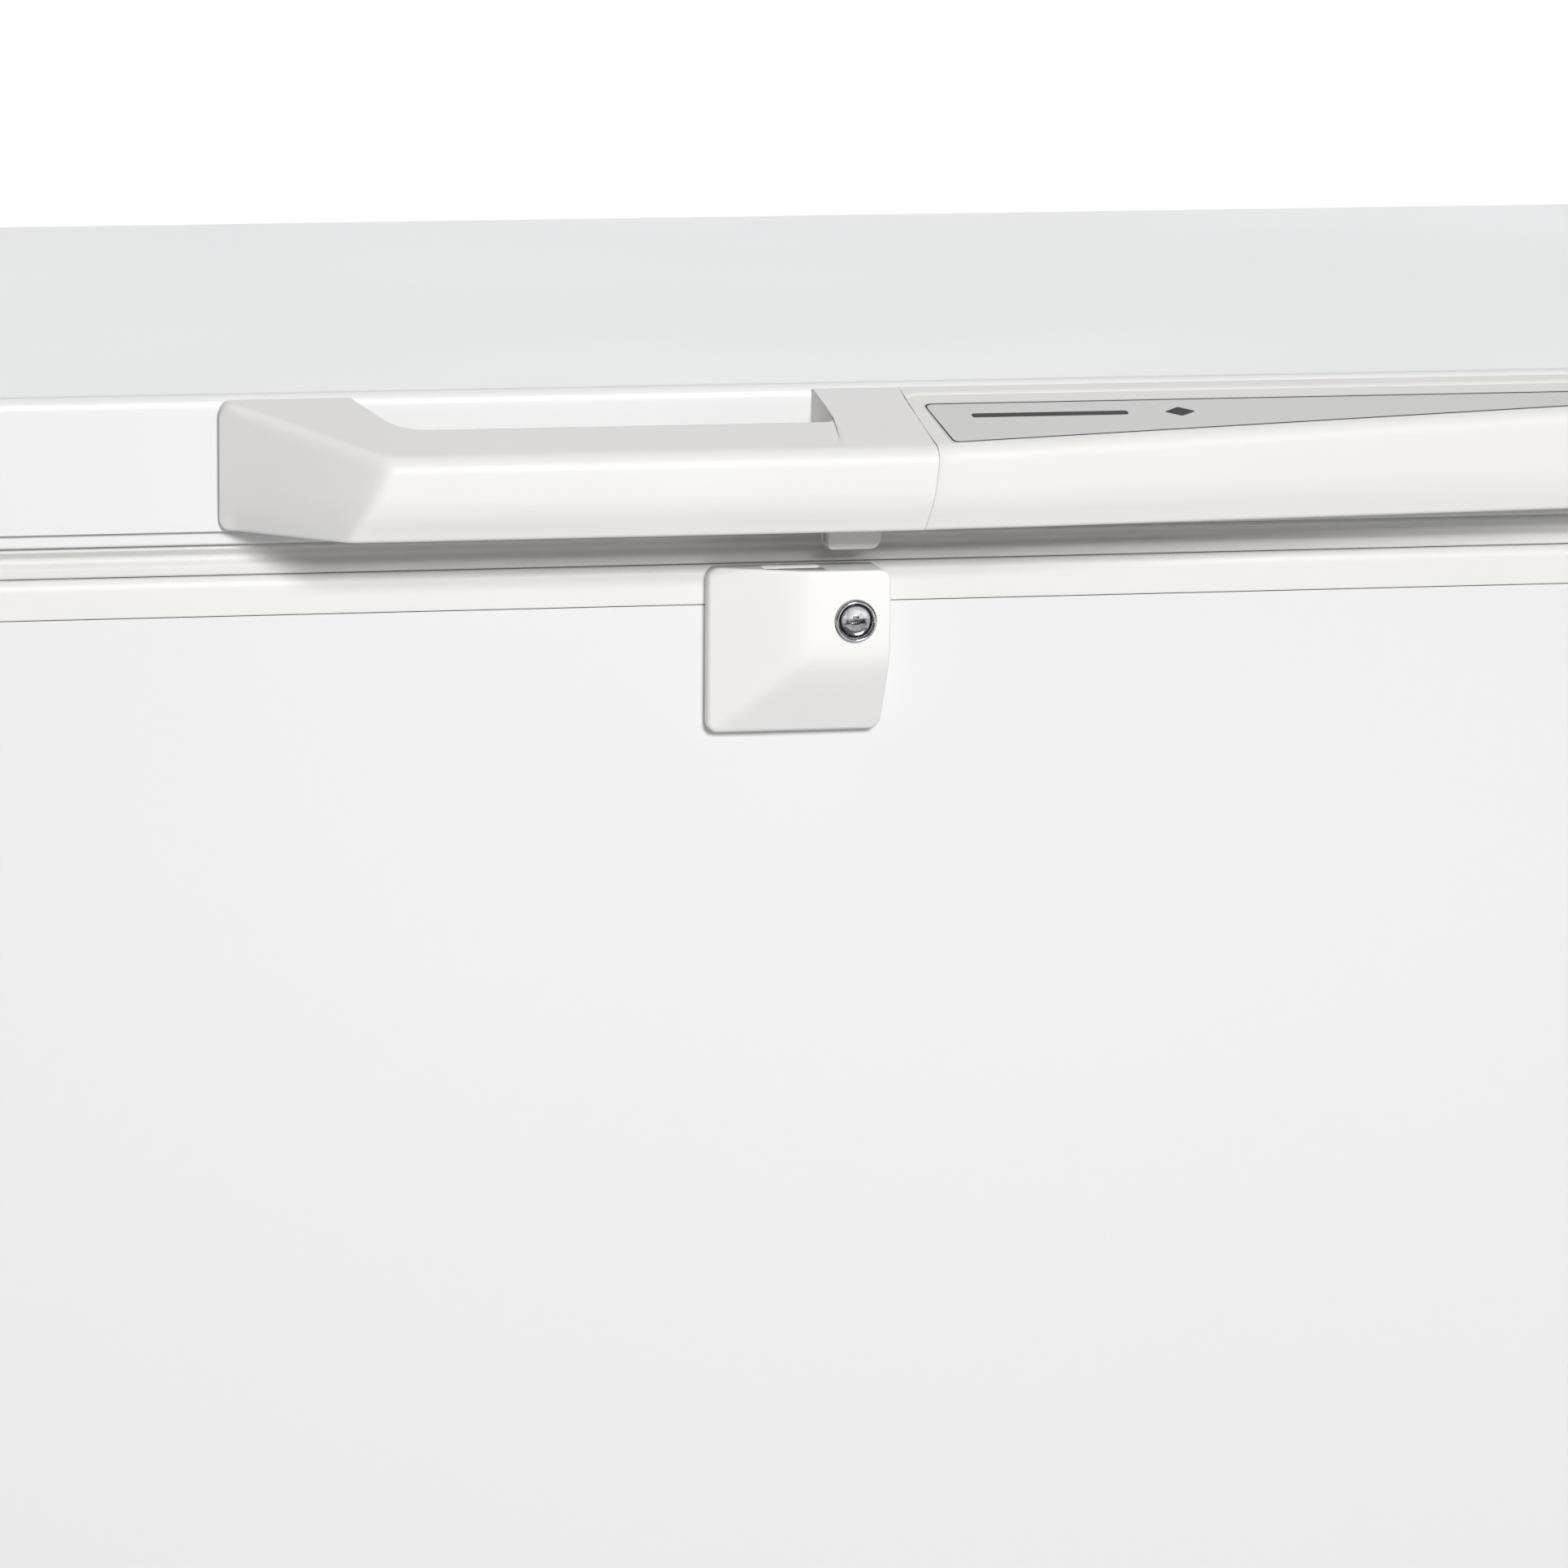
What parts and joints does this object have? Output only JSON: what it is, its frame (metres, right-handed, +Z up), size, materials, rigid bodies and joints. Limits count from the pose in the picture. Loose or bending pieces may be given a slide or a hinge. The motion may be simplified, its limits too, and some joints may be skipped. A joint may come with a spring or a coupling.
{
  "type": "chest freezer",
  "caption": "White chest freezer with a sprung lift-up lid, a long front handle with a finger gap and a tapering tail, a key lock, hanging baskets and a stepped tub.",
  "frame": {"origin": "on the floor, in the middle of the overall width and of the overall depth over handle and hinges", "axes": "+X to the right as seen from the front, along the width; +Y to the back; +Z up"},
  "size_m": [1.305, 0.7029, 0.85],
  "materials": {
    "white_enamel": "satin",
    "white_plastic": "satin",
    "basket_wire": "satin",
    "white_seal": "matte",
    "badge_grey": "satin",
    "clear_plastic": "gloss",
    "foam_cream": "matte",
    "tub_aluminium": "satin",
    "zinc_steel": "satin",
    "lock_chrome": "polished",
    "copper_tube": "satin",
    "black_enamel": "satin",
    "black_plastic": "satin",
    "black_rubber": "matte",
    "grey_plastic": "satin"
  },
  "bodies": {
    "cabinet": {"cabinet_shell": "white_enamel", "cabinet_back": "white_enamel", "room_cover": "white_enamel", "top_frame": "white_plastic", "lock_housing": "white_plastic", "vent_grille": "white_plastic", "control_panel": "white_plastic", "indicator_window": "clear_plastic", "foam_body": "foam_cream", "inner_tub": "tub_aluminium", "evaporator_coil": "tub_aluminium", "base_tray": "zinc_steel", "compressor_plate": "zinc_steel", "hinge_base_left": "zinc_steel", "hinge_base_right": "zinc_steel", "hinge_pin_left": "zinc_steel", "hinge_pin_right": "zinc_steel", "hinge_spring_left": "zinc_steel", "hinge_spring_right": "zinc_steel", "roller_bracket_left": "zinc_steel", "roller_bracket_right": "zinc_steel", "lock_barrel": "lock_chrome", "condenser_coil": "copper_tube", "suction_tube": "copper_tube", "discharge_tube": "copper_tube", "capillary_tube": "copper_tube", "filter_drier": "copper_tube", "compressor": "black_enamel", "relay_cover": "black_plastic", "power_inlet": "black_plastic", "front_foot_left": "black_plastic", "front_foot_right": "black_plastic", "compressor_grommet_1": "black_rubber", "compressor_grommet_2": "black_rubber", "compressor_grommet_3": "black_rubber", "compressor_grommet_4": "black_rubber", "thermostat": "grey_plastic", "drain_pipe": "grey_plastic"},
    "lid": {"lid_skin": "white_enamel", "lid_liner": "white_plastic", "lid_foam": "foam_cream", "lid_gasket": "white_seal", "lamp_housing": "white_plastic", "lamp_lens": "clear_plastic", "handle_body": "white_plastic", "handle_cover": "white_plastic", "handle_badge": "badge_grey", "latch_striker": "white_plastic", "hinge_leaf_left": "zinc_steel", "hinge_leaf_right": "zinc_steel"},
    "key": {"lock_plug": "lock_chrome", "lock_cam": "zinc_steel"},
    "thermostat_dial": {"thermostat_knob": "white_plastic"},
    "switch_rocker": {"freeze_switch": "grey_plastic"},
    "left_basket": {"basket_left": "basket_wire"},
    "right_basket": {"basket_right": "basket_wire"},
    "left_roller": {"roller_wheel_left": "black_plastic"},
    "right_roller": {"roller_wheel_right": "black_plastic"},
    "drain_stopper": {"drain_plug": "black_rubber"},
    "drain_outlet_cap": {"drain_cap": "white_plastic"}
  },
  "joints": [
    {"name": "lid_hinge", "type": "hinge", "parent": "cabinet", "child": "lid", "pos_m": [0, 0.346, 0.795], "axis": [-1, 0, 0], "range_deg": [0, 80], "stiffness_Nm_per_rad": 14, "springref_deg": 79.98},
    {"name": "lock_turn", "type": "hinge", "parent": "cabinet", "child": "key", "pos_m": [0.0195, -0.3055, 0.763], "axis": [0, 1, 0], "range_deg": [0, 90]},
    {"name": "thermostat_turn", "type": "hinge", "parent": "cabinet", "child": "thermostat_dial", "pos_m": [0.568, -0.304, 0.121], "axis": [0, -1, 0], "range_deg": [0, 270]},
    {"name": "freeze_switch_rock", "type": "hinge", "parent": "cabinet", "child": "switch_rocker", "pos_m": [0.596, -0.299, 0.17045], "axis": [1, 0, 0], "range_deg": [0, 14]},
    {"name": "basket_left_slide", "type": "slide", "parent": "cabinet", "child": "left_basket", "axis": [1, 0, 0], "range_m": [0, 0.2]},
    {"name": "basket_right_slide", "type": "slide", "parent": "cabinet", "child": "right_basket", "axis": [-1, 0, 0], "range_m": [0, 0.2]},
    {"name": "roller_left_spin", "type": "hinge", "parent": "cabinet", "child": "left_roller", "pos_m": [-0.56, 0.2645, 0.018], "axis": [1, 0, 0], "continuous": true},
    {"name": "roller_right_spin", "type": "hinge", "parent": "cabinet", "child": "right_roller", "pos_m": [0.56, 0.2645, 0.018], "axis": [1, 0, 0], "continuous": true},
    {"name": "drain_plug_lift", "type": "slide", "parent": "cabinet", "child": "drain_stopper", "axis": [0, 0, 1], "range_m": [0, 0.03]},
    {"name": "drain_cap_pull", "type": "slide", "parent": "cabinet", "child": "drain_outlet_cap", "axis": [0, -1, 0], "range_m": [0, 0.03]}
  ]
}
